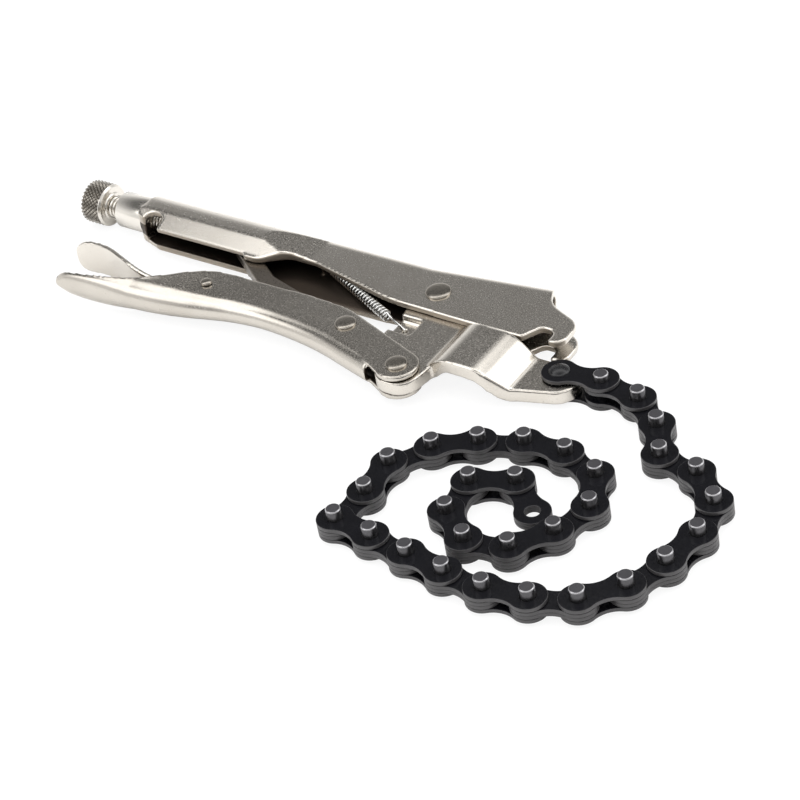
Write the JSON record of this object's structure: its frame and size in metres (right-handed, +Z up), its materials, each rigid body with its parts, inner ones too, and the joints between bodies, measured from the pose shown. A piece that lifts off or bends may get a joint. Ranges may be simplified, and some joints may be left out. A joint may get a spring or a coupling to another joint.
{
  "type": "locking chain wrench",
  "caption": "Plier-type locking chain wrench: sheet-steel handle and toggle lever, adjusting screw, and a pinned leaf chain that wraps a pipe and hooks in the nose.",
  "frame": {"origin": "on the floor, on the axis of the rivet that ties the chain to the jaw", "axes": "+X along the handle from the adjusting knob towards the hooked nose, +Y from the lever towards the handle's back, +Z up with the tool lying on its side"},
  "size_m": [0.3233, 0.147, 0.0172],
  "materials": {
    "satin_nickel": "satin nickel plate",
    "nickel_screw": "nickel plate over turned steel",
    "rivet_steel": "nickel plate, upset heads",
    "toggle_steel": "nickel plate, in shade",
    "spring_wire": "bright drawn wire",
    "black_oxide": "black oxide",
    "bare_pin_steel": "ground steel"
  },
  "bodies": {
    "handle": {"fixed_handle": "satin_nickel", "threaded_collar": "satin_nickel", "jaw_rivet": "rivet_steel", "jaw_spring": "spring_wire"},
    "screw": {"adjusting_screw": "nickel_screw"},
    "knob": {"screw_knob": "nickel_screw"},
    "jaw": {"chain_jaw": "satin_nickel"},
    "lever": {"lever": "satin_nickel", "lever_rivet": "rivet_steel", "toggle_rivet": "rivet_steel", "release_rivet": "rivet_steel"},
    "toggle": {"toggle_link": "toggle_steel"},
    "release": {"release_lever": "satin_nickel"},
    "chain_01": {"link_01": "black_oxide", "anchor_rivet": "black_oxide"},
    "chain_02": {"link_02": "black_oxide", "pins_02": "bare_pin_steel"},
    "chain_03": {"link_03": "black_oxide"},
    "chain_04": {"link_04": "black_oxide", "pins_04": "bare_pin_steel"},
    "chain_05": {"link_05": "black_oxide"},
    "chain_06": {"link_06": "black_oxide", "pins_06": "bare_pin_steel"},
    "chain_07": {"link_07": "black_oxide"},
    "chain_08": {"link_08": "black_oxide", "pins_08": "bare_pin_steel"},
    "chain_09": {"link_09": "black_oxide"},
    "chain_10": {"link_10": "black_oxide", "pins_10": "bare_pin_steel"},
    "chain_11": {"link_11": "black_oxide"},
    "chain_12": {"link_12": "black_oxide", "pins_12": "bare_pin_steel"},
    "chain_13": {"link_13": "black_oxide"},
    "chain_14": {"link_14": "black_oxide", "pins_14": "bare_pin_steel"},
    "chain_15": {"link_15": "black_oxide"},
    "chain_16": {"link_16": "black_oxide", "pins_16": "bare_pin_steel"},
    "chain_17": {"link_17": "black_oxide"},
    "chain_18": {"link_18": "black_oxide", "pins_18": "bare_pin_steel"},
    "chain_19": {"link_19": "black_oxide"},
    "chain_20": {"link_20": "black_oxide", "pins_20": "bare_pin_steel"},
    "chain_21": {"link_21": "black_oxide"},
    "chain_22": {"link_22": "black_oxide", "pins_22": "bare_pin_steel"},
    "chain_23": {"link_23": "black_oxide"},
    "chain_24": {"link_24": "black_oxide", "pins_24": "bare_pin_steel"},
    "chain_25": {"link_25": "black_oxide"},
    "chain_26": {"link_26": "black_oxide", "pins_26": "bare_pin_steel"},
    "chain_27": {"link_27": "black_oxide"},
    "chain_28": {"link_28": "black_oxide", "pins_28": "bare_pin_steel"},
    "chain_29": {"link_29": "black_oxide"},
    "chain_30": {"link_30": "black_oxide", "pins_30": "bare_pin_steel"},
    "chain_31": {"link_31": "black_oxide"}
  },
  "joints": [
    {"name": "screw_advance", "type": "slide", "parent": "handle", "child": "screw", "axis": [-1, 0, 0], "range_m": [0, 0.0127]},
    {"name": "knob_turn", "type": "hinge", "parent": "screw", "child": "knob", "pos_m": [-0.22775, 0.02265, 0.0086], "axis": [-1, 0, 0], "range_deg": [0, 2881]},
    {"name": "jaw_pivot", "type": "hinge", "parent": "handle", "child": "jaw", "pos_m": [-0.06175, 0.0179, 0.0086], "axis": [0, 0, -1], "range_deg": [0, 14], "deforming": ["jaw_spring"]},
    {"name": "lever_pivot", "type": "hinge", "parent": "jaw", "child": "lever", "pos_m": [-0.05225, -0.0236, 0.0086], "axis": [0, 0, 1], "range_deg": [0, 49.2]},
    {"name": "toggle_pivot", "type": "hinge", "parent": "lever", "child": "toggle", "pos_m": [-0.08325, -0.011, 0.0086], "axis": [0, 0, -1], "range_deg": [0, 56.2]},
    {"name": "release_pivot", "type": "hinge", "parent": "lever", "child": "release", "pos_m": [-0.14725, -0.0114, 0.0086], "axis": [0, 0, 1], "range_deg": [0, 7]},
    {"name": "chain_01_hinge", "type": "hinge", "parent": "jaw", "child": "chain_01", "pos_m": [0, 0, 0.0047], "axis": [0, 0, 1], "range_deg": [-3, 20]},
    {"name": "chain_02_hinge", "type": "hinge", "parent": "chain_01", "child": "chain_02", "pos_m": [0.01576, 0.00194, 0.0047], "axis": [0, 0, 1], "range_deg": [-2, 20]},
    {"name": "chain_03_hinge", "type": "hinge", "parent": "chain_02", "child": "chain_03", "pos_m": [0.03148, -0.00028, 0.0047], "axis": [0, 0, 1], "range_deg": [-2, 29]},
    {"name": "chain_04_hinge", "type": "hinge", "parent": "chain_03", "child": "chain_04", "pos_m": [0.04416, -0.00983, 0.0047], "axis": [0, 0, 1], "range_deg": [-2, 20]},
    {"name": "chain_05_hinge", "type": "hinge", "parent": "chain_04", "child": "chain_05", "pos_m": [0.0528, -0.02314, 0.0047], "axis": [0, 0, 1], "range_deg": [-2, 20]},
    {"name": "chain_06_hinge", "type": "hinge", "parent": "chain_05", "child": "chain_06", "pos_m": [0.06839, -0.02617, 0.0047], "axis": [0, 0, 1], "range_deg": [-2, 30]},
    {"name": "chain_07_hinge", "type": "hinge", "parent": "chain_06", "child": "chain_07", "pos_m": [0.08037, -0.03659, 0.0047], "axis": [0, 0, 1], "range_deg": [-2, 39]},
    {"name": "chain_08_hinge", "type": "hinge", "parent": "chain_07", "child": "chain_08", "pos_m": [0.08312, -0.05222, 0.0047], "axis": [0, 0, 1], "range_deg": [-2, 20]},
    {"name": "chain_09_hinge", "type": "hinge", "parent": "chain_08", "child": "chain_09", "pos_m": [0.08037, -0.06785, 0.0047], "axis": [0, 0, 1], "range_deg": [-2, 20]},
    {"name": "chain_10_hinge", "type": "hinge", "parent": "chain_09", "child": "chain_10", "pos_m": [0.07442, -0.08257, 0.0047], "axis": [0, 0, 1], "range_deg": [-2, 20]},
    {"name": "chain_11_hinge", "type": "hinge", "parent": "chain_10", "child": "chain_11", "pos_m": [0.0638, -0.09437, 0.0047], "axis": [0, 0, 1], "range_deg": [-1, 26]},
    {"name": "chain_12_hinge", "type": "hinge", "parent": "chain_11", "child": "chain_12", "pos_m": [0.04908, -0.10032, 0.0047], "axis": [0, 0, 1], "range_deg": [-3, 20]},
    {"name": "chain_13_hinge", "type": "hinge", "parent": "chain_12", "child": "chain_13", "pos_m": [0.03336, -0.10253, 0.0047], "axis": [0, 0, 1], "range_deg": [-4, 20]},
    {"name": "chain_14_hinge", "type": "hinge", "parent": "chain_13", "child": "chain_14", "pos_m": [0.01752, -0.10142, 0.0047], "axis": [0, 0, 1], "range_deg": [-4, 20]},
    {"name": "chain_15_hinge", "type": "hinge", "parent": "chain_14", "child": "chain_15", "pos_m": [0.0018, -0.09921, 0.0047], "axis": [0, 0, 1], "range_deg": [-2, 20]},
    {"name": "chain_16_hinge", "type": "hinge", "parent": "chain_15", "child": "chain_16", "pos_m": [-0.01392, -0.097, 0.0047], "axis": [0, 0, 1], "range_deg": [-1, 20]},
    {"name": "chain_17_hinge", "type": "hinge", "parent": "chain_16", "child": "chain_17", "pos_m": [-0.02968, -0.09507, 0.0047], "axis": [0, 0, 1], "range_deg": [0, 22]},
    {"name": "chain_18_hinge", "type": "hinge", "parent": "chain_17", "child": "chain_18", "pos_m": [-0.02829, -0.07925, 0.0047], "axis": [0, 0, 1], "range_deg": [-1, 20]},
    {"name": "chain_19_hinge", "type": "hinge", "parent": "chain_18", "child": "chain_19", "pos_m": [-0.0294, -0.06341, 0.0047], "axis": [0, 0, 1], "range_deg": [-1, 25]},
    {"name": "chain_20_hinge", "type": "hinge", "parent": "chain_19", "child": "chain_20", "pos_m": [-0.0203, -0.05041, 0.0047], "axis": [0, 0, 1], "range_deg": [-3, 21]},
    {"name": "chain_21_hinge", "type": "hinge", "parent": "chain_20", "child": "chain_21", "pos_m": [-0.00713, -0.04153, 0.0047], "axis": [0, 0, 1], "range_deg": [-3, 20]},
    {"name": "chain_22_hinge", "type": "hinge", "parent": "chain_21", "child": "chain_22", "pos_m": [0.00758, -0.03559, 0.0047], "axis": [0, 0, 1], "range_deg": [-2, 20]},
    {"name": "chain_23_hinge", "type": "hinge", "parent": "chain_22", "child": "chain_23", "pos_m": [0.02345, -0.03503, 0.0047], "axis": [0, 0, 1], "range_deg": [-2, 22]},
    {"name": "chain_24_hinge", "type": "hinge", "parent": "chain_23", "child": "chain_24", "pos_m": [0.03837, -0.04046, 0.0047], "axis": [0, 0, 1], "range_deg": [-3, 7]},
    {"name": "chain_25_hinge", "type": "hinge", "parent": "chain_24", "child": "chain_25", "pos_m": [0.04482, -0.05496, 0.0047], "axis": [0, 0, 1], "range_deg": [-3, 4]},
    {"name": "chain_26_hinge", "type": "hinge", "parent": "chain_25", "child": "chain_26", "pos_m": [0.04045, -0.07022, 0.0047], "axis": [0, 0, 1], "range_deg": [-3, 4]},
    {"name": "chain_27_hinge", "type": "hinge", "parent": "chain_26", "child": "chain_27", "pos_m": [0.03089, -0.0829, 0.0047], "axis": [0, 0, 1], "range_deg": [-1, 7]},
    {"name": "chain_28_hinge", "type": "hinge", "parent": "chain_27", "child": "chain_28", "pos_m": [0.01526, -0.08566, 0.0047], "axis": [0, 0, 1], "range_deg": [0, 34]},
    {"name": "chain_29_hinge", "type": "hinge", "parent": "chain_28", "child": "chain_29", "pos_m": [0.00242, -0.07633, 0.0047], "axis": [0, 0, 1], "range_deg": [-1, 22]},
    {"name": "chain_30_hinge", "type": "hinge", "parent": "chain_29", "child": "chain_30", "pos_m": [0.00131, -0.06049, 0.0047], "axis": [0, 0, 1], "range_deg": [-2, 23]},
    {"name": "chain_31_hinge", "type": "hinge", "parent": "chain_30", "child": "chain_31", "pos_m": [0.01581, -0.05404, 0.0047], "axis": [0, 0, 1], "range_deg": [-15, 3]}
  ],
  "couplings": [
    {"joint": "knob_turn", "follows": "screw_advance", "rad_per_m": 3957.9},
    {"joint": "lever_pivot", "follows": "jaw_pivot", "ratio": 3.5},
    {"joint": "toggle_pivot", "follows": "jaw_pivot", "ratio": 4}
  ]
}
